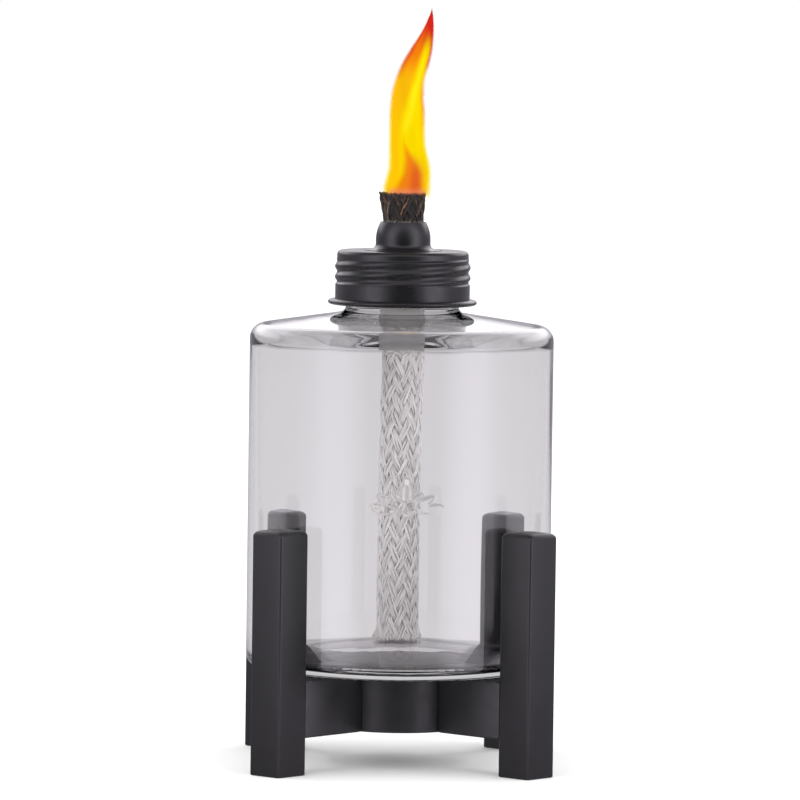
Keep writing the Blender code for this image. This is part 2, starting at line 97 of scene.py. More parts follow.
# Stand.
CORNERS = {"front_left": -135, "front_right": -45, "back_right": 45, "back_left": 135}
POST_SIDE = 11.4 * MM
POST_CIRCLE = 49.95 * MM
POST_EDGE = 0.8 * MM
POST_TOP_EDGE = 1.6 * MM
POST_FOOT_EDGE = 0.25 * MM
POST_TOP_STEPS = 6
POST_CROWN = 0.35 * MM
# Crown of a post's top: shares of the way in from the edge, and of its rise.
POST_CROWN_STATIONS = ((0.30, 0.55), (0.60, 0.85), (0.92, 1.0))
# A post's upright edges: their growth with the inset, and their limit as a share of the width.
POST_EDGE_GROWTH = 0.35
POST_EDGE_LIMIT = 0.45
ARM_WIDTH = 10.4 * MM
ARM_EDGE = 0.6 * MM
ARM_STATIONS = (0.0, 0.02, 0.5, 0.98, 1.0)
ARM_END_EASE = 0.3
SEAM = 0.3 * MM
STAND_SHARP_DEG = 60.0

# Bottle.
BOTTLE_WALL = 2.7 * MM
HEEL_RADIUS = 4.0 * MM
BEARING_WIDTH = 4.0 * MM
PUSH_UP = 5.0 * MM
FLOOR_THICKNESS = 8.2 * MM
FLOOR_RISE = 5.1 * MM
FLOOR_CORNER = 1.5 * MM
SHOULDER_RADIUS = 4.4 * MM
SHOULDER_CENTRE = 122.5 * MM
SHOULDER_SLOPE_DEG = 8.75
SHOULDER_WALL = 2.2 * MM
INNER_BEND = 5.0 * MM
NECK_RADIUS = 16.3 * MM
NECK_FILLET = 2.0 * MM
BORE_RADIUS = 13.6 * MM
BORE_FILLET = 1.5 * MM
FINISH_RADIUS = 17.4 * MM
FINISH_BOTTOM = 134.4 * MM
LIP_EDGE = 0.8 * MM
BOTTLE_SEGMENTS = 432
STIPPLES = 84
STIPPLE_DEPTH = 0.45 * MM
STIPPLE_TOP = 0.6 * MM
STIPPLE_FADE = 1.5 * MM
STIPPLE_INWARD = 3.5 * MM
STIPPLE_OUTWARD = 2.0 * MM
MOTIF_HEIGHT = 78.5 * MM
MOTIF_REACH = 9.0 * MM
MOTIF_RELIEF = 0.4 * MM
LEAF_LEANS_DEG = (58, 34, 12)
LEAF_LENGTH = 7.5 * MM
LEAF_WIDTH = 3.0 * MM
LEAF_REACH = (4.0 * MM, 1.6 * MM)  # of the first leaf, and more for each leaf after it
LEAF_FOOT = (-3.5 * MM, 0.2 * MM)  # its height, and more for each leaf after it
STEM_LENGTH = 11.0 * MM
STEM_WIDTH = 2.6 * MM
STEM_MIDDLE = 1.5 * MM
LEAF_STEEPNESS = 2.2
WALL_RIPPLE = 0.05 * MM
# Waves of the inner wall: how many go round, their turn with height, phase and share.
WALL_WAVES = ((5, 1.3, 0.0, 1.0), (11, -2.1, 2.0, 0.7), (19, 3.3, 0.7, 0.5))
WALL_DRIFT = 60.0 * MM
WALL_STEP = 8.0 * MM
MOTIF_STEP = 0.4 * MM
BASE_STEP = 0.5 * MM
NEAR = 0.05 * MM  # two radii closer than this are on the same surface

# Thread.
THREAD_SPACING = 3.0 * MM
THREAD_LEAD = 2 * THREAD_SPACING
THREAD_CREST = 143.5 * MM
THREAD_FADE = 0.8 * MM
BOTTLE_THREAD = (137.8 * MM, 144.6 * MM)
BOTTLE_THREAD_HEIGHT = 1.35 * MM
BOTTLE_THREAD_SHARPNESS = 1.5
BOTTLE_THREAD_STEP = 0.3 * MM
CAP_THREAD = (138.2 * MM, 146.0 * MM)
CAP_THREAD_HEIGHT = 0.6 * MM
CAP_THREAD_SHARPNESS = 1.0
CAP_THREAD_STEP = 0.12 * MM

# Cap and wick holder.
CAP_SHEET = 0.45 * MM
CAP_ROOT_RADIUS = 19.0 * MM
CAP_SKIRT_RADIUS = 19.45 * MM
CAP_CORNER = 1.3 * MM
CAP_HOLE_RADIUS = 8.2 * MM
CAP_SEGMENTS = 360
RIM_CENTRE = 133.3 * MM
RIM_OUTER_RADIUS = 21.5 * MM
RIM_WIDTH = 1.4 * MM
RIM_HEIGHT = 0.85 * MM
DOME_RADIUS = 7.9 * MM
DOME_LIP_RADIUS = 6.55 * MM
DOME_SHEET = 0.5 * MM
DOME_SHOULDER = 151.4 * MM
DOME_GAP = 0.03 * MM
DOME_FILLET = 1.5 * MM
DOME_FLANGE = 0.4 * MM
DOME_FLANGE_RADIUS = 11.3 * MM
DOME_FLANGE_EDGE = 0.12 * MM
DOME_SEGMENTS = 144
DOME_STEP = 1.0 * MM
CRIMP_RADIUS = 9.1 * MM
CRIMP_HEIGHT = 0.7 * MM
SLEEVE_RADIUS = 6.65 * MM
SLEEVE_BOTTOM = 124.5 * MM
SLEEVE_TOP = 154.0 * MM
SLEEVE_SHEET = 0.25 * MM
SLEEVE_BEAD = 0.45 * MM
SLEEVE_SEGMENTS = 96
SLEEVE_STEP = 4.0 * MM

# Wick.
WICK_DIAMETER = 12.2 * MM
YARNS = 16
YARN_ENDS = 5
YARN_RADIUS = 0.22 * MM
YARN_FILL = 0.9
YARN_SCATTER = 0.08 * MM
YARN_STATIONS = 150
YARN_WANDER = 0.03
YARN_TOP_UNEVENNESS = 0.9 * MM
YARN_FOOT_UNEVENNESS = 0.8 * MM
BRAID_RADIUS = 5.6 * MM
BRAID_DEPTH = 0.3 * MM
BRAID_ANGLE_DEG = 24.0
CHAR_HEIGHT = 157.0 * MM
FRAY_HEIGHT = 4.0 * MM
FOOT_SPREAD = 0.9 * MM
TOP_SPREAD = 0.6 * MM
THROAT_PINCH = 0.25 * MM
THROAT_HEIGHT = 2.5 * MM
LOOSE_FIBRES = 46
LOOSE_FIBRE_RADIUS = 0.22 * MM
CORE_SEGMENTS = 64
CORE_SHADE = (0.2, 0.5, 0.0, 1.0)
# Sideways swings of the wick: (height, shift).
WICK_SWAY = (
    (36.0 * MM, -0.3 * MM), (75.0 * MM, -0.2 * MM), (117.0 * MM, 0.5 * MM),
    (128.0 * MM, 0.1 * MM), (156.0 * MM, 0.0 * MM), (165.0 * MM, -0.4 * MM),
)
# Radii from the axis where the wick's painted shade is full, and where it ends.
WICK_PAINTED_SHADE_FULL = 5.3 * MM
WICK_PAINTED_SHADE_END = 6.0 * MM

# Flame: height above the wick's top, sideways lean and half width, from its foot to its tip.
FLAME_STATIONS = (
    (-1.3 * MM, 0.7 * MM, 7.15 * MM),
    (0.5 * MM, 0.7 * MM, 7.15 * MM),
    (2.3 * MM, 1.0 * MM, 7.05 * MM),
    (6.9 * MM, 1.5 * MM, 6.45 * MM),
    (13.8 * MM, 0.8 * MM, 5.6 * MM),
    (23.0 * MM, 0.65 * MM, 5.4 * MM),
    (27.7 * MM, 0.65 * MM, 4.9 * MM),
    (32.3 * MM, 1.3 * MM, 4.4 * MM),
    (36.9 * MM, 2.85 * MM, 4.1 * MM),
    (41.5 * MM, 4.6 * MM, 3.2 * MM),
    (46.1 * MM, 6.2 * MM, 1.85 * MM),
    (50.2 * MM, 7.1 * MM, 0.8 * MM),
    (53.0 * MM, 7.4 * MM, 0.05 * MM),
)
FLAME_DEPTH = 0.8
FLAME_SHARP_DEG = 80.0
FLAME_LOBE = 2.2 * MM
# Each veil's share of the full width, and its density.
FLAME_VEILS = ((1.04, 0.12), (0.98, 0.22), (0.92, 0.35), (0.86, 0.5), (0.80, 0.7), (0.73, 1.0))
# Where the brightest streak and the darker tongue run: (rise, side).
FLAME_STREAK = ((0.34, -0.15), (0.47, 0.18), (0.62, 0.55), (0.74, 0.42), (0.835, 0.38))
FLAME_TONGUE = ((0.0, 0.02), (0.12, 0.1), (0.2, 0.0), (0.3, -0.22))


# ---- camera and studio


def make_camera():
    """A long lens from the front, turned, tipped and rolled by the named angles."""
    yaw = math.radians(CAMERA_YAW_DEG)
    pitch = math.radians(CAMERA_PITCH_DEG)
    roll = math.radians(CAMERA_ROLL_DEG)
    flat = math.cos(pitch)
    ahead = Vector((math.sin(yaw) * flat, math.cos(yaw) * flat, -math.sin(pitch)))
    level = Vector((math.cos(yaw), -math.sin(yaw), 0))
    upright = level.cross(ahead)
    right = level * math.cos(roll) + upright * math.sin(roll)
    up = upright * math.cos(roll) - level * math.sin(roll)
    data = bpy.data.cameras.new("camera")
    data.lens = CAMERA_LENS
    data.sensor_width = CAMERA_SENSOR
    data.clip_end = CAMERA_CLIP_END
    camera = bpy.data.objects.new("camera", data)
    bpy.context.scene.collection.objects.link(camera)
    turn = Matrix((right, up, -ahead)).transposed()
    camera.matrix_world = Matrix.Translation(CAMERA_POINT) @ turn.to_4x4()
    bpy.context.scene.camera = camera


def make_lights():
    """Two large softboxes beside the camera and one overhead, for the diffuse surfaces alone."""
    for name, (point, size, power) in SOFTBOXES.items():
        data = bpy.data.lights.new(name, "AREA")
        data.shape = "RECTANGLE"
        data.size, data.size_y = size
        data.energy = power
        light = bpy.data.objects.new(name, data)
        light.location = point
        aim = Vector(SOFTBOX_AIM) - Vector(point)
        light.rotation_euler = aim.to_track_quat("-Z", "Y").to_euler()
        light.visible_camera = False
        light.visible_glossy = False
        light.visible_transmission = False
        bpy.context.scene.collection.objects.link(light)


def make_world():
    """White to the camera. Reflections see a wide bright panel on either side, a dark front and
    a bright window high behind. Seen through glass, it is bright near the horizon and darker
    overhead and underfoot."""
    world = bpy.data.worlds.new("studio")
    bpy.context.scene.world = world
    world.use_nodes = True
    graph = Graph(world.node_tree)
    graph.tree.nodes.clear()
    split = graph.node("ShaderNodeSeparateXYZ")
    graph.link(graph.node("ShaderNodeTexCoord").outputs["Generated"], split.inputs[0])
    frontness = graph.range(split.outputs["Y"], 1.0, -1.0, 0.0, 1.0)
    height = graph.range(split.outputs["Z"], -1.0, 1.0, 0.0, 1.0)
    around = graph.ramp(frontness, greys(AROUND_STOPS))
    upward = graph.ramp(height, greys(UPWARD_STOPS))
    mirrored = graph.mix(1.0, around, upward, blend="MULTIPLY")
    mirrored = graph.mix(1.0, mirrored, MIRROR_LIGHT, blend="MULTIPLY")
    sideways = graph.range(split.outputs["X"], -1.0, 1.0, MIRROR_LEFT, MIRROR_RIGHT)
    mirrored = graph.mix(1.0, mirrored, sideways, blend="MULTIPLY")
    window = graph.mix(
        1.0,
        graph.ramp(frontness, greys(WINDOW_AROUND_STOPS)),
        graph.ramp(height, greys(WINDOW_UPWARD_STOPS)),
        blend="MULTIPLY",
    )
    window = graph.mix(1.0, window, WINDOW_LIGHT, blend="MULTIPLY")
    mirrored = graph.mix(1.0, mirrored, window, blend="ADD")
    refracted = graph.ramp(height, greys(REFRACTED_STOPS))
    path = graph.node("ShaderNodeLightPath")
    seen = graph.mix(path.outputs["Is Glossy Ray"], (FLOOR_LIGHT,) * 3, mirrored)
    seen = graph.mix(path.outputs["Is Transmission Ray"], seen, refracted)
    lit = graph.range(path.outputs["Diffuse Depth"], 0.0, 1.0, 0.0, 1.0)
    seen = graph.mix(lit, seen, (FLOOR_LIGHT,) * 3)
    seen = graph.mix(path.outputs["Is Camera Ray"], seen, (1.0, 1.0, 1.0))
    background = graph.node("ShaderNodeBackground")
    graph.link(seen, background.inputs["Color"])
    output = graph.node("ShaderNodeOutputWorld")
    graph.link(background.outputs[0], output.inputs["Surface"])


def greys(stops):
    return [(place, (value,) * 3) for place, value in stops]


def make_floor():
    """White paper. Glass and gloss look past it at the world, as at a pale table far below."""
    paper = Surface("studio_paper", (0.96, 0.96, 0.96), 1.0)
    paper.set("Specular IOR Level", 0.0)
    paper.paint(paper.ramp(paper.noise(40.0), greys(((0.3, 0.955), (0.7, 0.965)))))
    signs = ((-1, -1), (1, -1), (1, 1), (-1, 1))
    corners = [(x * FLOOR_REACH, y * FLOOR_REACH, 0) for x, y in signs]
    floor = add_piece("studio_floor", corners, [(0, 1, 2, 3)], paper.material)
    floor.visible_glossy = False
    floor.visible_transmission = False


# ---- materials


class Graph:
    """Short calls for the nodes of one material or world."""

    def __init__(self, tree):
        self.tree = tree

    def link(self, source, target):
        self.tree.links.new(source, target)

    def node(self, kind, **settings):
        made = self.tree.nodes.new(kind)
        for key, value in settings.items():
            setattr(made, key, value)
        return made

    def range(self, value, low, high, from_value, to_value):
        node = self.node("ShaderNodeMapRange")
        self.link(value, node.inputs["Value"])
        node.inputs["From Min"].default_value = low
        node.inputs["From Max"].default_value = high
        node.inputs["To Min"].default_value = from_value
        node.inputs["To Max"].default_value = to_value
        return node.outputs["Result"]

    def ramp(self, value, stops):
        """A colour ramp: stops are (position, colour) pairs."""
        node = self.node("ShaderNodeValToRGB")
        elements = node.color_ramp.elements
        while len(elements) < len(stops):
            elements.new(0.5)
        for element, (position, colour) in zip(elements, stops):
            element.position = position
            element.color = (*colour, 1.0)
        self.link(value, node.inputs["Fac"])
        return node.outputs["Color"]

    def mix(self, factor, first, second, blend="MIX"):
        node = self.node("ShaderNodeMix", data_type="RGBA", blend_type=blend)
        colours = [socket for socket in node.inputs if socket.type == "RGBA"]
        sockets = (node.inputs["Factor"], *colours)
        for socket, value in zip(sockets, (factor, first, second)):
            if isinstance(value, tuple):
                socket.default_value = (*value, 1.0)
            elif isinstance(value, (int, float)):
                socket.default_value = value
            else:
                self.link(value, socket)
        return next(socket for socket in node.outputs if socket.type == "RGBA")


class Surface(Graph):
    """A Principled material, and short calls that add procedural detail to it."""

    def __init__(self, name, colour, roughness, metallic=0.0):
        self.material = bpy.data.materials.new(name)
        self.material.use_nodes = True
        super().__init__(self.material.node_tree)
        self.shader = self.tree.nodes["Principled BSDF"]
        self.set("Base Color", (*colour, 1.0))
        self.set("Roughness", roughness)
        self.set("Metallic", metallic)
        self.place = self.node("ShaderNodeTexCoord").outputs["Object"]
        self.normal = None

    def set(self, socket, value):
        self.shader.inputs[socket].default_value = value

    def noise(self, scale, stretch=(1, 1, 1), detail=3.0):
        """Smooth noise from 0 to 1, with scale features to the metre, stretched on each axis."""
        mapping = self.node("ShaderNodeMapping")
        mapping.inputs["Scale"].default_value = stretch
        self.link(self.place, mapping.inputs["Vector"])
        texture = self.node("ShaderNodeTexNoise")
        texture.inputs["Scale"].default_value = scale
        texture.inputs["Detail"].default_value = detail
        self.link(mapping.outputs["Vector"], texture.inputs["Vector"])
        return texture.outputs["Fac"]

    def from_axis(self):
        """Distance from the z axis, and height, in metres."""
        axes = self.node("ShaderNodeSeparateXYZ")
        self.link(self.place, axes.inputs[0])
        flat = self.node("ShaderNodeCombineXYZ")
        self.link(axes.outputs["X"], flat.inputs["X"])
        self.link(axes.outputs["Y"], flat.inputs["Y"])
        length = self.node("ShaderNodeVectorMath", operation="LENGTH")
        self.link(flat.outputs[0], length.inputs[0])
        return length.outputs["Value"], axes.outputs["Z"]

    def roughen(self, value, low, high):
        self.link(self.range(value, 0.3, 0.7, low, high), self.shader.inputs["Roughness"])

    def paint(self, colour):
        self.link(colour, self.shader.inputs["Base Color"])

    def bump(self, value, height, strength=1.0):
        """Adds bumps of that height in metres, on top of the bumps that are there."""
        node = self.node("ShaderNodeBump")
        node.inputs["Strength"].default_value = strength
        node.inputs["Distance"].default_value = height
        self.link(value, node.inputs["Height"])
        if self.normal is not None:
            self.link(self.normal, node.inputs["Normal"])
        self.normal = node.outputs["Normal"]
        self.link(self.normal, self.shader.inputs["Normal"])


def scaled(colour, factor):
    return tuple(channel * factor for channel in colour)


def stand_paint(name, grain):
    """Black satin paint on wood: a faint grain along one axis shows through it."""
    colour = (0.0085, 0.0080, 0.0092)
    surface = Surface(name, colour, 0.4)
    surface.set("Specular IOR Level", 0.5)
    fibre = surface.noise(1.0, stretch=grain, detail=4.0)
    mottle = surface.noise(90.0)
    surface.roughen(surface.noise(260.0), 0.34, 0.46)
    surface.paint(surface.mix(mottle, scaled(colour, 0.8), scaled(colour, 1.3)))
    surface.bump(fibre, 0.02 * MM, 0.35)
    surface.bump(surface.noise(1400.0), 0.01 * MM, 0.3)
    return surface.material


def cap_paint():
    """Black enamel baked on pressed steel, with a fine orange-peel texture."""
    colour = (0.0065, 0.0061, 0.0070)
    surface = Surface("cap_enamel", colour, 0.3)
    surface.set("Specular IOR Level", 0.5)
    surface.roughen(surface.noise(300.0), 0.25, 0.36)
    dust = surface.range(surface.noise(2600.0), 0.62, 0.78, 0.0, 0.35)
    surface.paint(surface.mix(dust, colour, scaled(colour, 2.6)))
    surface.bump(surface.noise(900.0), 0.008 * MM, 0.25)
    return surface.material


def bottle_glass():
    """Clear glass with a trace of grey, and the faint upright waves of a moulded bottle."""
    surface = Surface("bottle_glass", (0.915, 0.90, 0.92), 0.0)
    surface.set("Transmission Weight", 1.0)
    surface.set("IOR", 1.5)
    surface.roughen(surface.noise(60.0), 0.0, 0.015)
    surface.bump(surface.noise(1.0, stretch=(110, 110, 9), detail=1.0), 0.06 * MM, 0.5)
    return surface.material


def tinned_steel(name):
    colour = (0.60, 0.59, 0.58)
    surface = Surface(name, colour, 0.6, metallic=0.55)
    brushed = surface.noise(1.0, stretch=(60, 60, 2400), detail=2.0)
    surface.roughen(brushed, 0.50, 0.65)
    surface.paint(surface.mix(surface.noise(220.0), scaled(colour, 0.85), scaled(colour, 1.12)))
    surface.bump(brushed, 0.01 * MM, 0.3)
    return surface.material


def liner_foam():
    colour = (0.70, 0.69, 0.64)
    surface = Surface("liner_foam", colour, 0.9)
    cells = surface.noise(3200.0)
    surface.paint(surface.mix(cells, scaled(colour, 0.85), scaled(colour, 1.1)))
    surface.bump(cells, 0.05 * MM)
    return surface.material


def bare_wood():
    surface = Surface("bare_beech", (0.55, 0.38, 0.22), 0.7)
    grain = surface.noise(1.0, stretch=(1800, 1800, 1800), detail=4.0)
    surface.paint(surface.ramp(grain, ((0.3, (0.45, 0.29, 0.16)), (0.7, (0.62, 0.44, 0.27)))))
    surface.bump(grain, 0.05 * MM)
    return surface.material


def wick_fibre(name):
    """Glass-fibre yarn: pale grey below, and charred with tan and grey ends where it has burnt.
    The mesh stores how light and how warm each yarn end is. Yarn nearer the axis is darkened
    by its radius alone: painted shade for the shadow between the strands."""
    surface = Surface(name, (0.60, 0.585, 0.53), 0.7)
    surface.set("Sheen Weight", 0.15)
    radius, height = surface.from_axis()
    stored = surface.node("ShaderNodeVertexColor", layer_name="yarn")
    channels = surface.node("ShaderNodeSeparateColor")
    surface.link(stored.outputs["Color"], channels.inputs[0])
    light, warm = channels.outputs[0], channels.outputs[1]
    # Painted shade: 0 deep in the braid, 1 at its outer face, by radius alone.
    outside = surface.range(radius, WICK_PAINTED_SHADE_FULL, WICK_PAINTED_SHADE_END, 0.0, 1.0)
    fine = surface.noise(2600.0, stretch=(1, 1, 0.25), detail=2.0)
    clean = surface.ramp(light, ((0.0, (0.52, 0.50, 0.49)), (1.0, (0.93, 0.91, 0.90))))
    clean = surface.mix(fine, clean, (0.80, 0.78, 0.765))
    # Painted shade on clean yarn: deep yarn turns a darker grey.
    clean = surface.mix(outside, (0.46, 0.445, 0.435), clean)
    soot = surface.noise(700.0, detail=3.0)
    ash = surface.mix(warm, (0.11, 0.10, 0.08), (0.22, 0.085, 0.022))
    lit = surface.ramp(light, ((0.62, (0.0,) * 3), (0.85, (1.0,) * 3)))
    patch = surface.range(soot, 0.42, 0.58, 0.15, 1.0)
    char = surface.mix(lit, (0.009, 0.005, 0.003), ash)
    char = surface.mix(patch, (0.014, 0.008, 0.005), char)
    # Painted shade on charred yarn: deep yarn turns near black.
    char = surface.mix(outside, (0.004, 0.003, 0.002), char)
    tip = surface.range(height, WICK_HIGH[2] - 3.0 * MM, WICK_HIGH[2] - 1 * MM, 0.0, 0.9)
    char = surface.mix(tip, char, (0.018, 0.009, 0.007))
    burnt = surface.range(height, CHAR_HEIGHT - 3 * MM, CHAR_HEIGHT, 0.0, 1.0)
    surface.paint(surface.mix(burnt, clean, char))
    surface.bump(fine, 0.08 * MM, 0.6)
    return surface.material


def flame_glow():
    """Glowing gas, lit by itself alone: the mesh stores its colour and how dense each veil is."""
    surface = Surface("flame_glow", (0, 0, 0), 1.0)
    surface.set("Specular IOR Level", 0.0)
    surface.set("Emission Strength", 1.0)
    stored = surface.node("ShaderNodeVertexColor", layer_name="glow")
    streak = surface.noise(1.0, stretch=(420, 420, 60), detail=1.0)
    light = surface.range(streak, 0.3, 0.7, 0.95, 1.05)
    colour = surface.mix(1.0, stored.outputs["Color"], light, blend="MULTIPLY")
    surface.link(colour, surface.shader.inputs["Emission Color"])
    surface.link(stored.outputs["Alpha"], surface.shader.inputs["Alpha"])
    surface.material.cycles.emission_sampling = "NONE"
    return surface.material


# ---- shapes


def smooth_step(value):
    value = np.clip(value, 0.0, 1.0)
    return value * value * (3 - 2 * value)


def arc(centre, radius, start_deg, end_deg, steps):
    """Points of an arc in the (radius, height) plane, both ends included."""
    angles = np.radians(np.linspace(start_deg, end_deg, steps + 1))
    return [(centre[0] + radius * math.cos(a), centre[1] + radius * math.sin(a)) for a in angles]


def filled(outline, step):
    """The same outline with extra points, so that none is further than step from the next."""
    points = [outline[0]]
    for start, end in zip(outline, outline[1:]):
        parts = max(1, math.ceil(math.dist(start, end) / step))
        for i in range(1, parts + 1):
            share = i / parts
            points.append(tuple(a + (b - a) * share for a, b in zip(start, end)))
    return points


def add_piece(name, points, faces, material, sharp_deg=35.0):
    """A new object, smooth but for its sharp edges."""
    mesh = bpy.data.meshes.new(name)
    mesh.from_pydata([tuple(point) for point in points], [], faces)
    mesh.materials.append(material)
    mesh.shade_smooth()
    mesh.set_sharp_from_angle(angle=math.radians(sharp_deg))
    piece = bpy.data.objects.new(name, mesh)
    bpy.context.scene.collection.objects.link(piece)
    return piece


def revolved(name, outline, segments, material, shape=None, closed=True):
    """Turns an outline that runs down its outer side. shape may move the rings' points."""
    turn = np.linspace(0, FULL_TURN, segments, endpoint=False)
    radius, angle = np.meshgrid([point[0] for point in outline], turn, indexing="ij")
    height, _ = np.meshgrid([point[1] for point in outline], turn, indexing="ij")
    if shape is not None:
        radius, height = shape(radius, height, angle)
    points = np.stack([radius * np.cos(angle), radius * np.sin(angle), height], axis=2)
    rows = len(outline)
    faces = []
    for i in range(rows if closed else rows - 1):
        below = (i + 1) % rows
        for j in range(segments):
            k = (j + 1) % segments
            faces.append(
                (i * segments + j, below * segments + j, below * segments + k, i * segments + k)
            )
    points = points.reshape(-1, 3)
    if not closed:
        points, faces = close_on_axis(points, faces, segments)
    return add_piece(name, points, faces, material)


def close_on_axis(points, faces, segments):
    """Draws the first and the last ring, which lie on the axis, together into one point each."""
    kept = np.concatenate([points[:1], points[segments:-segments], points[-1:]])
    last = len(kept) - 1

    def merged(face):
        renamed = [min(max(index - segments + 1, 0), last) for index in face]
        return tuple(dict.fromkeys(renamed))

    return kept, [merged(face) for face in faces]


def tube_faces(rows, around):
    """Faces of a tube of rings, anticlockwise seen from its last ring, with both ends capped."""
    faces = []
    for i in range(rows - 1):
        low, high = i * around, (i + 1) * around
        for j in range(around):
            k = (j + 1) % around
            faces.append((low + j, low + k, high + k, high + j))
    last = (rows - 1) * around
    faces.append(tuple(reversed(range(around))))
    faces.append(tuple(last + j for j in range(around)))
    return faces


def lofted(name, rings, material, sharp_deg=35.0):
    """Joins rings of equal length, and caps both ends."""
    points = [point for ring in rings for point in ring]
    return add_piece(name, points, tube_faces(len(rings), len(rings[0])), material, sharp_deg)


def gathered(name, tubes, material, sharp_deg=35.0):
    """Joins many tubes, each its points and its faces, into one piece."""
    points, faces, start = [], [], 0
    for tube_points, side_faces in tubes:
        points.append(tube_points)
        faces += [tuple(start + index for index in face) for face in side_faces]
        start += len(tube_points)
    return add_piece(name, np.concatenate(points), faces, material, sharp_deg)


def store_colours(piece, layer, colours):
    """Stores one colour for each point of the mesh, for its material to read."""
    stored = piece.data.color_attributes.new(layer, "FLOAT_COLOR", "POINT")
    stored.data.foreach_set("color", np.asarray(colours, float).ravel())


def hand_over(piece, node, body):
    """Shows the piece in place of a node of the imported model, and moves it with its body."""
    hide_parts(node)
    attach(piece, body)


def rounded_square(width, depth, edge, steps=4):
    """Points of a rectangle with round corners, anticlockwise."""
    points = []
    for index, (sx, sy) in enumerate(((1, 1), (-1, 1), (-1, -1), (1, -1))):
        centre = (sx * (width / 2 - edge), sy * (depth / 2 - edge))
        points += arc(centre, edge, 90 * index, 90 * index + 90, steps)
    return points


# ---- stand


def make_post(corner, angle_deg, paint):
    """A square post with soft upright edges and a slightly crowned, rounded top."""
    low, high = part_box("post_" + corner)
    tall = high[2] - low[2]
    top = tall - POST_TOP_EDGE
    levels = [(0.0, POST_FOOT_EDGE), (POST_FOOT_EDGE, 0.0)]
    for angle in np.linspace(0, math.pi / 2, POST_TOP_STEPS + 1):
        inset = POST_TOP_EDGE * (1 - math.cos(angle))
        levels.append((top + POST_TOP_EDGE * math.sin(angle), inset))
    flat = POST_SIDE / 2 - POST_TOP_EDGE
    for inward, rise in POST_CROWN_STATIONS:
        levels.append((tall + POST_CROWN * rise, POST_TOP_EDGE + flat * inward))
    turn = math.radians(angle_deg)
    centre = (POST_CIRCLE * math.cos(turn), POST_CIRCLE * math.sin(turn))
    rings = []
    for height, inset in levels:
        width = POST_SIDE - 2 * inset
        edge = min(POST_EDGE + inset * POST_EDGE_GROWTH, width * POST_EDGE_LIMIT)
        ring = rounded_square(width, width, edge)
        rings.append([turned_point(x, y, low[2] + height, turn, centre) for x, y in ring])
    post = lofted("post_" + corner + "_painted", rings, paint, STAND_SHARP_DEG)
    hand_over(post, "post_" + corner, "stand")


def turned_point(x, y, z, turn, centre=(0.0, 0.0)):
    """A point turned about the z axis by an angle in radians and then moved sideways."""
    return (
        centre[0] + x * math.cos(turn) - y * math.sin(turn),
        centre[1] + x * math.sin(turn) + y * math.cos(turn),
        z,
    )


def make_arm(corner, angle_deg, paint):
    """An arm from the hub to its post, with its inner end hollowed to the round hub."""
    low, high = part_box("arm_" + corner)
    turn = math.radians(angle_deg)
    hub_radius = HUB_HIGH[0]
    end = POST_CIRCLE - POST_SIDE / 2 - SEAM
    height = high[2] - low[2]
    section = rounded_square(ARM_WIDTH, height, ARM_EDGE)
    rings = []
    for share in ARM_STATIONS:
        shrink = ARM_EDGE * ARM_END_EASE * (share in (0.0, 1.0))
        scale = 1 - 2 * shrink / ARM_WIDTH
        ring = []
        for across, up in section:
            start = math.sqrt((hub_radius + SEAM) ** 2 - across**2)
            reach = start + (end - start) * share
            ring.append(
                turned_point(reach, across * scale, low[2] + height / 2 + up * scale, turn)
            )
        rings.append(ring)
    arm = lofted("arm_" + corner + "_painted", rings, paint, STAND_SHARP_DEG)
    hand_over(arm, "arm_" + corner, "stand")


def make_hub(paint):
    eased = HUB_HIGH[0] - ARM_EDGE
    outline = [(0.0, HUB_HIGH[2])]
    outline += arc((eased, HUB_HIGH[2] - ARM_EDGE), ARM_EDGE, 90, 0, 4)
    outline += arc((eased, HUB_LOW[2] + ARM_EDGE), ARM_EDGE, 0, -90, 4)
    outline += [(0.0, HUB_LOW[2])]
    hub = revolved("hub_painted", filled(outline, 4 * MM), 144, paint, closed=False)
    hand_over(hub, "hub", "stand")


def make_stand():
    across = stand_paint("stand_satin_black", (420, 420, 26))
    along = stand_paint("stand_satin_black_arms", (120, 120, 700))
    for corner, angle in CORNERS.items():
        make_post(corner, angle, across)
        make_arm(corner, angle, along)
    make_hub(across)
    wood = bare_wood()
    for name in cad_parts:
        if "_dowel_" in name:
            dress(name, wood)


def dress(name, material):
    """Gives a carried-over CAD node a better material."""
    node = bpy.data.objects[name]
    for slot in node.material_slots:
        slot.material = material


# ---- thread


def thread_rise(angle, height, zone, sharpness, run_out=0.0):
    """From 0 at a root to 1 at a crest, of the right-hand two-start thread."""
    climb = height - THREAD_CREST - THREAD_LEAD * angle / FULL_TURN
    wave = 0.5 + 0.5 * np.cos(FULL_TURN * climb / THREAD_SPACING)
    above_bottom = smooth_step((height - zone[0]) / THREAD_FADE)
    below_top = smooth_step((zone[1] - height) / THREAD_FADE)
    return below_top * wave**sharpness * above_bottom + run_out * (1 - above_bottom)


# ---- bottle


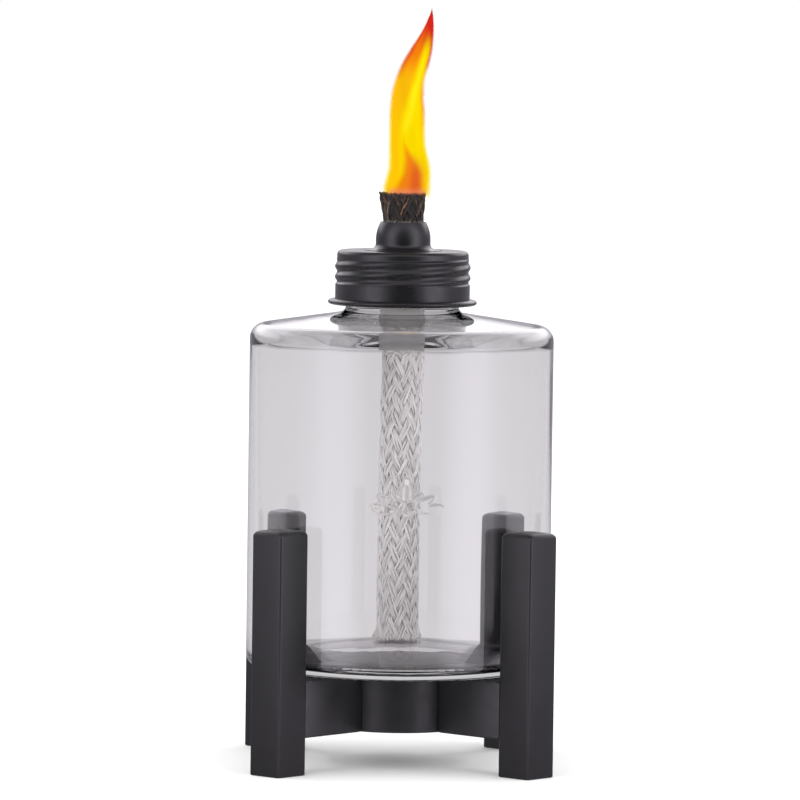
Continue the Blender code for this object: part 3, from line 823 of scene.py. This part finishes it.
def bottle_outline():
    """From the floor's middle, up the inside, over the lip and down the outside to the base."""
    slope = math.radians(SHOULDER_SLOPE_DEG)
    outer = BOTTLE_HIGH[0]
    base = BOTTLE_LOW[2]
    lip = BOTTLE_HIGH[2]
    inner = outer - BOTTLE_WALL
    shoulder = (outer - SHOULDER_RADIUS, SHOULDER_CENTRE)
    floor = base + FLOOR_THICKNESS
    floor_edge = floor - FLOOR_RISE
    corner = (inner - FLOOR_CORNER, floor_edge + FLOOR_CORNER)
    inside = domed((0, floor), (corner[0], floor_edge))
    inside += arc(corner, FLOOR_CORNER, -90, 0, 8)[1:]
    inside += arc(inner_shoulder(inner), INNER_BEND, 0, 90 - SHOULDER_SLOPE_DEG, 16)
    bore_foot = BORE_RADIUS + BORE_FILLET
    bore_foot_height = inside[-1][1] + (inside[-1][0] - bore_foot) * math.tan(slope)
    bore_fillet = (bore_foot, bore_foot_height + BORE_FILLET)
    inside += arc(bore_fillet, BORE_FILLET, 270 - SHOULDER_SLOPE_DEG, 180, 5)
    lip_ring = arc((BORE_RADIUS + LIP_EDGE, lip - LIP_EDGE), LIP_EDGE, 180, 90, 4)
    lip_ring += arc((FINISH_RADIUS - LIP_EDGE, lip - LIP_EDGE), LIP_EDGE, 90, 0, 4)
    thread_ends = [(FINISH_RADIUS, BOTTLE_THREAD[1]), (FINISH_RADIUS, BOTTLE_THREAD[0])]
    side = filled(thread_ends, BOTTLE_THREAD_STEP)
    side += [(FINISH_RADIUS, FINISH_BOTTOM)]
    side += [(NECK_RADIUS, FINISH_BOTTOM - (FINISH_RADIUS - NECK_RADIUS))]
    bent = arc(shoulder, SHOULDER_RADIUS, 90 - SHOULDER_SLOPE_DEG, 0, 14)
    neck_foot = NECK_RADIUS + NECK_FILLET
    neck_foot_height = bent[0][1] + (bent[0][0] - neck_foot) * math.tan(slope)
    neck_fillet = (neck_foot, neck_foot_height + NECK_FILLET)
    side += arc(neck_fillet, NECK_FILLET, 180, 270 - SHOULDER_SLOPE_DEG, 8) + bent
    motif_top = (outer, MOTIF_HEIGHT + MOTIF_REACH)
    motif_bottom = (outer, MOTIF_HEIGHT - MOTIF_REACH)
    side += filled([motif_top, motif_bottom], MOTIF_STEP)
    heel = (outer - HEEL_RADIUS, base + HEEL_RADIUS)
    side += arc(heel, HEEL_RADIUS, 0, -90, 12)
    bearing = (heel[0] - BEARING_WIDTH, base)
    side += filled([(heel[0], base), bearing], BASE_STEP)[1:]
    under = list(reversed(domed((0, base + PUSH_UP), bearing)))
    return inside + lip_ring + side + under[1:]


def inner_shoulder(inner_radius):
    """Centre of the bend between the inner wall and the underside of the sloping shoulder."""
    slope = math.radians(SHOULDER_SLOPE_DEG)
    outer_centre = BOTTLE_HIGH[0] - SHOULDER_RADIUS
    outer_top = SHOULDER_CENTRE + SHOULDER_RADIUS / math.cos(slope)
    centre = inner_radius - INNER_BEND
    under_top = outer_top - SHOULDER_WALL / math.cos(slope)
    under_top += (outer_centre - centre) * math.tan(slope)
    return centre, under_top - INNER_BEND / math.cos(slope)


def domed(summit, edge, steps=20):
    """A shallow parabola from its summit on the axis down to its edge."""
    shares = [i / steps for i in range(steps + 1)]
    rise = summit[1] - edge[1]
    return [(edge[0] * share, edge[1] + rise * (1 - share**2)) for share in shares]


def leaf(across, up, centre, length, width, lean):
    """How far inside a pointed leaf a point is: 1 at its middle line, 0 at its edge and beyond."""
    x = (across - centre[0]) * math.cos(lean) + (up - centre[1]) * math.sin(lean)
    y = -(across - centre[0]) * math.sin(lean) + (up - centre[1]) * math.cos(lean)
    along = np.clip(1 - (2 * x / length) ** 2, 0, 1)
    half = width / 2 * along
    return np.clip(1 - np.abs(y) / np.maximum(half, 1e-6), 0, 1) * (along > 0)


def motif_relief(angle, height):
    """A plain sprig of leaves pressed into the mould, facing the front."""
    front = (angle - 1.5 * math.pi + math.pi) % FULL_TURN - math.pi
    across = front * BOTTLE_HIGH[0]
    up = height - MOTIF_HEIGHT
    relief = np.zeros_like(across)
    for side in (-1, 1):
        for order, lean_deg in enumerate(LEAF_LEANS_DEG):
            lean = math.radians(lean_deg)
            reach = LEAF_REACH[0] + LEAF_REACH[1] * order
            foot = LEAF_FOOT[0] + LEAF_FOOT[1] * order
            centre = (side * reach * math.cos(lean), foot + reach * math.sin(lean))
            shape = leaf(across, up, centre, LEAF_LENGTH, LEAF_WIDTH, side * lean)
            relief = np.maximum(relief, smooth_step(shape * LEAF_STEEPNESS))
    stem = leaf(across, up, (0, STEM_MIDDLE), STEM_LENGTH, STEM_WIDTH, math.pi / 2)
    return np.maximum(relief, smooth_step(stem * LEAF_STEEPNESS))


def wall_ripple(angle, height):
    """The slow waves that blowing leaves on the inside of a moulded bottle, from -1 to 1."""
    drift = height / WALL_DRIFT
    waves = np.zeros_like(angle)
    for count, turn, phase, share in WALL_WAVES:
        waves += share * np.sin(count * angle + turn * drift + phase)
    return waves / sum(share for _, _, _, share in WALL_WAVES)


def shape_bottle(radius, height, angle):
    """Adds the thread, the motif and the ring of stipples that the mould leaves on the heel."""
    outer = BOTTLE_HIGH[0]
    base = BOTTLE_LOW[2]
    on_finish = np.abs(radius - FINISH_RADIUS) < NEAR
    in_zone = (height > BOTTLE_THREAD[0]) & (height < BOTTLE_THREAD[1])
    rise = thread_rise(angle, height, BOTTLE_THREAD, BOTTLE_THREAD_SHARPNESS)
    threaded = radius + np.where(on_finish & in_zone, BOTTLE_THREAD_HEIGHT * rise, 0)
    on_inner_wall = np.abs(radius - (outer - BOTTLE_WALL)) < NEAR
    threaded = threaded + np.where(on_inner_wall, WALL_RIPPLE * wall_ripple(angle, height), 0)
    on_wall = np.abs(radius - outer) < NEAR
    near_motif = np.abs(height - MOTIF_HEIGHT) < MOTIF_REACH
    pressed = MOTIF_RELIEF * motif_relief(angle, height)
    raised = threaded + np.where(on_wall & near_motif, pressed, 0)
    heel = outer - HEEL_RADIUS
    bearing = (height < base + STIPPLE_TOP) & (radius > heel - BEARING_WIDTH)
    wave = np.clip(np.cos(STIPPLES * angle), 0, 1)
    band = smooth_step((radius - (heel - STIPPLE_INWARD)) / STIPPLE_FADE)
    band *= smooth_step((heel + STIPPLE_OUTWARD - radius) / STIPPLE_FADE)
    return raised, height + np.where(bearing, STIPPLE_DEPTH * wave * band, 0)


def make_bottle():
    bottle = revolved(
        "fuel_bottle",
        filled(bottle_outline(), WALL_STEP),
        BOTTLE_SEGMENTS,
        bottle_glass(),
        shape=shape_bottle,
        closed=False,
    )
    bottle.visible_shadow = False
    hand_over(bottle, "glass_bottle", "bottle")


# ---- cap and wick holder


def cap_outline():
    """From the hole, out over the top, down the outside, round the rim and back up the inside."""
    corner = (CAP_ROOT_RADIUS - CAP_CORNER, CAP_TOP - CAP_CORNER)
    rim_middle = RIM_OUTER_RADIUS - RIM_WIDTH
    skirt_inside = CAP_SKIRT_RADIUS - CAP_SHEET
    roll_start = math.degrees(math.acos((CAP_SKIRT_RADIUS - rim_middle) / RIM_WIDTH))
    roll_end = -math.degrees(math.acos((skirt_inside - rim_middle) / RIM_WIDTH))
    rim = [
        (radius, RIM_CENTRE + height * RIM_HEIGHT / RIM_WIDTH)
        for radius, height in arc((rim_middle, 0), RIM_WIDTH, roll_start, roll_end, 24)
    ]

    def side(change):
        root = CAP_ROOT_RADIUS + change
        points = filled([(root, CAP_THREAD[1]), (root, CAP_THREAD[0])], CAP_THREAD_STEP)
        return points + [(CAP_SKIRT_RADIUS + change, CAP_THREAD[0] - THREAD_FADE)]

    outline = [(CAP_HOLE_RADIUS, CAP_TOP)] + arc(corner, CAP_CORNER, 90, 0, 8)
    outline += side(0) + rim
    outline += list(reversed(side(-CAP_SHEET)))
    outline += list(reversed(arc(corner, CAP_CORNER - CAP_SHEET, 90, 0, 4)))
    return outline + [(CAP_HOLE_RADIUS, CAP_TOP - CAP_SHEET)]


def shape_cap(radius, height, angle):
    """Presses the thread into both faces of the sheet."""
    in_sheet = (radius > CAP_ROOT_RADIUS - CAP_SHEET - NEAR) & (radius < CAP_ROOT_RADIUS + NEAR)
    in_zone = (height > CAP_THREAD[0] - NEAR) & (height < CAP_THREAD[1])
    step = (CAP_SKIRT_RADIUS - CAP_ROOT_RADIUS) / CAP_THREAD_HEIGHT
    rise = thread_rise(angle, height, CAP_THREAD, CAP_THREAD_SHARPNESS, step)
    return radius + np.where(in_sheet & in_zone, CAP_THREAD_HEIGHT * rise, 0), height


def dome_side(lip_radius, side_radius, top):
    """From the lip, curving out and down to the dome's upright side."""
    return [
        (
            lip_radius + (side_radius - lip_radius) * (1 - (1 - share) ** 2),
            top + (DOME_SHOULDER - top) * share,
        )
        for share in np.linspace(0, 1, 16)
    ]


def dome_outline():
    """Down the dome's outside, over its flange, through the cap to the crimp, and up the inside."""
    inside = DOME_RADIUS - DOME_SHEET
    opening = SLEEVE_RADIUS - SLEEVE_SHEET
    flange_bottom = CAP_TOP + DOME_GAP
    flange_top = flange_bottom + DOME_FLANGE
    crimp_bottom = DOME_LOW[2]
    crimp_top = crimp_bottom + CRIMP_HEIGHT
    outline = [(opening, DOME_HIGH[2])]
    outline += dome_side(DOME_LIP_RADIUS, DOME_RADIUS, DOME_HIGH[2])
    fillet = (DOME_RADIUS + DOME_FILLET, flange_top + DOME_FILLET)
    outline += arc(fillet, DOME_FILLET, 180, 270, 8)
    edge = DOME_FLANGE_EDGE / 2
    outline += arc((DOME_FLANGE_RADIUS - edge, flange_bottom + edge), edge, 90, -90, 6)
    outline += [(DOME_RADIUS, flange_bottom), (DOME_RADIUS, crimp_top)]
    outline += [(CRIMP_RADIUS, crimp_top), (CRIMP_RADIUS, crimp_bottom)]
    outline += [(inside, crimp_bottom)]
    return outline + list(reversed(dome_side(opening, inside, DOME_HIGH[2] - DOME_SHEET)))


def sleeve_outline():
    inner = SLEEVE_RADIUS - SLEEVE_SHEET
    outline = [(SLEEVE_RADIUS, SLEEVE_TOP), (SLEEVE_RADIUS, CAP_TOP + SLEEVE_BEAD)]
    outline += arc((SLEEVE_RADIUS, CAP_TOP), SLEEVE_BEAD, 60, -60, 6)
    outline += [(SLEEVE_RADIUS, CAP_TOP - SLEEVE_BEAD), (SLEEVE_RADIUS, SLEEVE_BOTTOM)]
    return outline + [(inner, SLEEVE_BOTTOM), (inner, SLEEVE_TOP)]


def make_cap():
    enamel = cap_paint()
    shell = revolved("cap_pressing", cap_outline(), CAP_SEGMENTS, enamel, shape=shape_cap)
    side = filled(dome_outline(), DOME_STEP)
    dome = revolved("wick_dome_pressing", side, DOME_SEGMENTS, enamel)
    wall = filled(sleeve_outline(), SLEEVE_STEP)
    sleeve = revolved("wick_sleeve_tube", wall, SLEEVE_SEGMENTS, tinned_steel("tinned_steel"))
    for piece, node, slot in (
        (shell, "cap_shell", "cap_paint"),
        (dome, "wick_dome", "cap_paint"),
        (sleeve, "wick_sleeve", "tinned_steel"),
    ):
        hand_over(piece, node, "cap")
    dress("crimp_ring", tinned_steel("crimp_steel"))
    dress("cap_liner", liner_foam())


# ---- wick


def swept(path, radius, sides=5):
    """Points and faces of a closed tube along a path. radius is one number or one a point."""
    path = np.asarray(path)
    tangent = np.gradient(path, axis=0)
    tangent /= np.linalg.norm(tangent, axis=1)[:, None]
    outward = path * np.array([1.0, 1.0, 0.0])
    outward /= np.maximum(np.linalg.norm(outward, axis=1), 1e-9)[:, None]
    beside = np.cross(tangent, outward)
    beside /= np.linalg.norm(beside, axis=1)[:, None]
    outward = np.cross(beside, tangent)
    turn = np.linspace(0, FULL_TURN, sides, endpoint=False)[None, :, None]
    size = np.broadcast_to(np.asarray(radius, float), (len(path),))[:, None, None]
    around = np.cos(turn) * outward[:, None] + np.sin(turn) * beside[:, None]
    points = (path[:, None] + size * around).reshape(-1, 3)
    return points, tube_faces(len(path), sides)


def spread(height, phase):
    """How far the yarns stand out beyond the plain braid: at the burnt top and the frayed foot."""
    foot = smooth_step((WICK_LOW[2] + FRAY_HEIGHT - height) / FRAY_HEIGHT)
    top = smooth_step((height - CHAR_HEIGHT) / (WICK_HIGH[2] - CHAR_HEIGHT)) ** 2
    throat = bell(height, DOME_HIGH[2], THROAT_HEIGHT)
    ripple = 1 + 0.4 * np.sin(height / MM * 1.3 + phase)
    return (foot * FOOT_SPREAD + top * TOP_SPREAD) * ripple - throat * THROAT_PINCH


def braid_yarn(index, hand, end, dice):
    """One end of one yarn. Each yarn winds one way, over two of the others and under two."""
    twist = math.tan(math.radians(BRAID_ANGLE_DEG)) / (WICK_DIAMETER / 2)
    top = WICK_HIGH[2] - dice.uniform(0.0, 1.0) * YARN_TOP_UNEVENNESS
    bottom = WICK_LOW[2] + dice.uniform(0.0, 1.0) * YARN_FOOT_UNEVENNESS
    height = np.linspace(bottom, top, YARN_STATIONS)
    rise = height - WICK_LOW[2]
    phase = math.pi * index + hand * YARNS * twist * rise / 2 - math.pi / 4
    weave = np.clip(1.5 * np.cos(phase), -1, 1)
    offset = (end - (YARN_ENDS - 1) / 2) * FULL_TURN / YARNS / YARN_ENDS * YARN_FILL
    sway_rate = dice.uniform(0.4, 0.9) / MM
    wander = YARN_WANDER * np.sin(rise * sway_rate + dice.uniform(0, FULL_TURN))
    angle = index * FULL_TURN / YARNS + hand * twist * rise + offset + wander
    radius = BRAID_RADIUS + hand * BRAID_DEPTH * weave + spread(height, dice.uniform(0, 6))
    radius = radius + YARN_SCATTER * dice.uniform(-1, 1)
    path = np.stack([radius * np.cos(angle), radius * np.sin(angle), height], axis=1)
    return swept(path, YARN_RADIUS * dice.uniform(0.85, 1.15))


def loose_fibres(dice):
    """Short broken filaments in the burnt top."""
    tubes = []
    for _ in range(LOOSE_FIBRES):
        bearing = dice.uniform(0, FULL_TURN)
        inner = dice.uniform(0.3, 5.2) * MM
        base = WICK_HIGH[2] - FRAY_HEIGHT
        tip = WICK_HIGH[2] - dice.uniform(0.1, 0.9) * MM
        share = np.linspace(0, 1, 6)
        radius = inner + dice.uniform(-0.3, 0.6) * MM * share
        turned = bearing + dice.uniform(-0.15, 0.15) * share
        height = base + (tip - base) * share
        path = np.stack([radius * np.cos(turned), radius * np.sin(turned), height], axis=1)
        tubes.append(swept(path, LOOSE_FIBRE_RADIUS * dice.uniform(0.6, 1.2), sides=4))
    return tubes


def store_yarn_shades(piece, tubes, dice):
    """Stores one random lightness and warmth for each tube."""
    colours = []
    for points, _ in tubes:
        shade = (dice.random(), dice.random(), 0.0, 1.0)
        colours.append(np.tile(shade, (len(points), 1)))
    store_colours(piece, "yarn", np.concatenate(colours))


def make_wick_core():
    """The straight yarns inside the braid, as one soft-ended bundle."""
    top = WICK_HIGH[2] - 0.8 * MM
    radius = BRAID_RADIUS - BRAID_DEPTH - YARN_RADIUS
    outline = [(0, top), (radius * 0.7, top - 0.2 * MM), (radius, top - 0.9 * MM)]
    outline += [(radius, WICK_LOW[2] + 0.8 * MM), (0, WICK_LOW[2] + 0.4 * MM)]
    # The core lies almost all deeper than the painted shade's full radius, so it takes the painted
    # shade's dark grey and near black.
    fibre = wick_fibre("wick_core_fibre")
    side = filled(outline, 2 * MM)
    core = revolved("wick_core_yarns", side, CORE_SEGMENTS, fibre, closed=False)
    store_colours(core, "yarn", [CORE_SHADE] * len(core.data.vertices))
    return core


def sway(piece):
    """Bends a piece of the wick sideways with the swings along its length."""
    heights, swings = zip(*WICK_SWAY)
    for vertex in piece.data.vertices:
        vertex.co.x += float(np.interp(vertex.co.z, heights, swings))


def make_wick():
    dice = random.Random(7)
    tubes = []
    for hand in (1, -1):
        for index in range(YARNS):
            for end in range(YARN_ENDS):
                tubes.append(braid_yarn(index, hand, end, dice))
    tubes += loose_fibres(dice)
    braid = gathered("wick_braid", tubes, wick_fibre("wick_fibre"))
    store_yarn_shades(braid, tubes, dice)
    core = make_wick_core()
    for piece, node, slot in (
        (braid, "wick_jacket", "glass_fibre_braid"),
        (core, "wick_core", "glass_fibre_yarn"),
    ):
        sway(piece)
        hand_over(piece, node, "wick")


# ---- flame


def flame_section(height):
    """Lean and half width of the flame at heights above the wick, on smooth curves."""
    knots = np.array(FLAME_STATIONS)
    place = np.interp(height, knots[:, 0], np.arange(len(knots)))
    index = np.clip(place.astype(int), 0, len(knots) - 2)
    share = (place - index)[:, None]
    before = knots[np.maximum(index - 1, 0), 1:]
    low = knots[index, 1:]
    high = knots[index + 1, 1:]
    after = knots[np.minimum(index + 2, len(knots) - 1), 1:]
    curve = 0.5 * (
        2 * low
        + (high - before) * share
        + (2 * before - 5 * low + 4 * high - after) * share**2
        + (3 * low - before - 3 * high + after) * share**3
    )
    return curve[:, 0], np.maximum(curve[:, 1], 0.02 * MM)


def blend(first, second, share):
    """A mix of two arrays of colours, by an array of shares of the second."""
    share = np.asarray(share)[..., None]
    return first * (1 - share) + np.asarray(second) * share


def bell(value, centre, width):
    """1 at the centre, falling smoothly to 0 on both sides."""
    return np.exp(-(((value - centre) / width) ** 2))


def flame_colour(side, rise):
    """Colour of the glow. side runs from -1 on the left to 1 on the right, rise from 0 to 1."""
    yellow = np.array((1.0, 0.72, 0.0))
    bright = (1.0, 0.86, 0.01)
    amber = (0.98, 0.46, 0.005)
    orange = (0.92, 0.21, 0.005)
    ember = (0.74, 0.10, 0.02)
    red = (0.70, 0.022, 0.012)
    salmon = (0.84, 0.27, 0.14)
    streak_side = np.interp(rise, *zip(*FLAME_STREAK))
    left_of_streak = smooth_step((streak_side - side - 0.05) / 0.5)
    colour = np.broadcast_to(yellow, (*side.shape, 3))
    colour = blend(colour, amber, left_of_streak * smooth_step((rise - 0.30) / 0.25) * 0.8)
    colour = blend(colour, orange, left_of_streak * smooth_step((rise - 0.60) / 0.18))
    left_band = bell(side, -0.62, 0.22) * smooth_step((0.62 - rise) / 0.3)
    colour = blend(colour, amber, 0.65 * left_band)
    streak_width = 0.2 - 0.1 * smooth_step((rise - 0.55) / 0.25)
    in_streak = smooth_step((rise - 0.30) / 0.10) * smooth_step((0.81 - rise) / 0.13)
    colour = blend(colour, bright, 0.8 * bell(side, streak_side, streak_width) * in_streak)
    tip = smooth_step((rise - 0.76 + 0.05 * side) / 0.15)
    kept = bell(side, streak_side, 0.28) * smooth_step((0.86 - rise) / 0.12)
    colour = blend(colour, red, tip * (1 - 0.6 * kept))
    left_rim = smooth_step((-side - 0.45) / 0.45) * smooth_step((rise - 0.60) / 0.14)
    colour = blend(colour, red, 0.7 * left_rim)
    right_rim = smooth_step((side - 0.62) / 0.3)
    colour = blend(colour, red, right_rim * smooth_step((rise - 0.64) / 0.08))
    colour = blend(colour, orange, 0.85 * right_rim * bell(rise, 0.50, 0.13))
    tongue_middle = np.interp(rise, *zip(*FLAME_TONGUE))
    tongue_reach = 0.85 * np.maximum(1 - rise / 0.33, 0) ** 0.8
    tongue = smooth_step((tongue_reach - np.abs(side - tongue_middle)) / 0.4)
    colour = blend(colour, orange, 0.9 * tongue)
    heart = bell(side, 0.28, 0.34) * smooth_step((0.26 - rise) / 0.16)
    colour = blend(colour, ember, 0.85 * heart)
    foot = smooth_step((0.06 - rise) / 0.05) * smooth_step((0.9 - np.abs(side)) / 0.25)
    return blend(colour, salmon, 0.85 * foot)


def flame_veil(size, density, around=72, along=120):
    """Points, faces and colours of one closed drop, at a share of the flame's full width."""
    tall = FLAME_STATIONS[-1][0] - FLAME_STATIONS[0][0]
    share = np.linspace(0, 1, along)[:, None]
    height = FLAME_STATIONS[0][0] + tall * share[:, 0] ** 0.9
    rise = (height[:, None] - FLAME_STATIONS[0][0]) / tall
    lean, half = flame_section(height)
    turn = np.linspace(0, FULL_TURN, around, endpoint=False)[None, :]
    side = size * np.cos(turn) * np.ones((along, 1))
    closing = np.sqrt(np.clip(rise / 0.004, 0, 1))
    x = lean[:, None] + half[:, None] * side * closing
    round_foot = smooth_step((0.12 - rise) / 0.12)
    depth = FLAME_DEPTH + (1 - FLAME_DEPTH) * round_foot
    y = depth * half[:, None] * size * np.sin(turn) * closing
    lobe = FLAME_LOBE * smooth_step((side - 0.72) / 0.25) * smooth_step((0.10 - rise) / 0.10)
    z = WICK_HIGH[2] + height[:, None] - lobe
    points = np.stack([x, y, z], axis=2).reshape(-1, 3)
    rise = rise * np.ones((1, around))
    colours = np.ones((along, around, 4))
    colours[..., :3] = flame_colour(side, rise)
    fade = smooth_step((rise - 0.008) / 0.035) * (1 - 0.8 * smooth_step((rise - 0.88) / 0.12))
    colours[..., 3] = density * fade
    return points, tube_faces(along, around), colours.reshape(-1, 4)


def make_flame():
    """A drop drawn out to the flame's height and lean, in veils from a thin rim to a dense core."""
    veils = [flame_veil(size, density) for size, density in FLAME_VEILS]
    drops = [(points, faces) for points, faces, _ in veils]
    flame = gathered("flame_veils", drops, flame_glow(), FLAME_SHARP_DEG)
    store_colours(flame, "glow", np.concatenate([colours for _, _, colours in veils]))
    flame.visible_shadow = False
    hand_over(flame, "flame", "wick")


# ---- scene


def main():
    bpy.context.scene.view_settings.view_transform = "Standard"
    make_camera()
    make_world()
    make_lights()
    make_floor()
    make_stand()
    make_bottle()
    make_cap()
    make_wick()
    make_flame()


main()
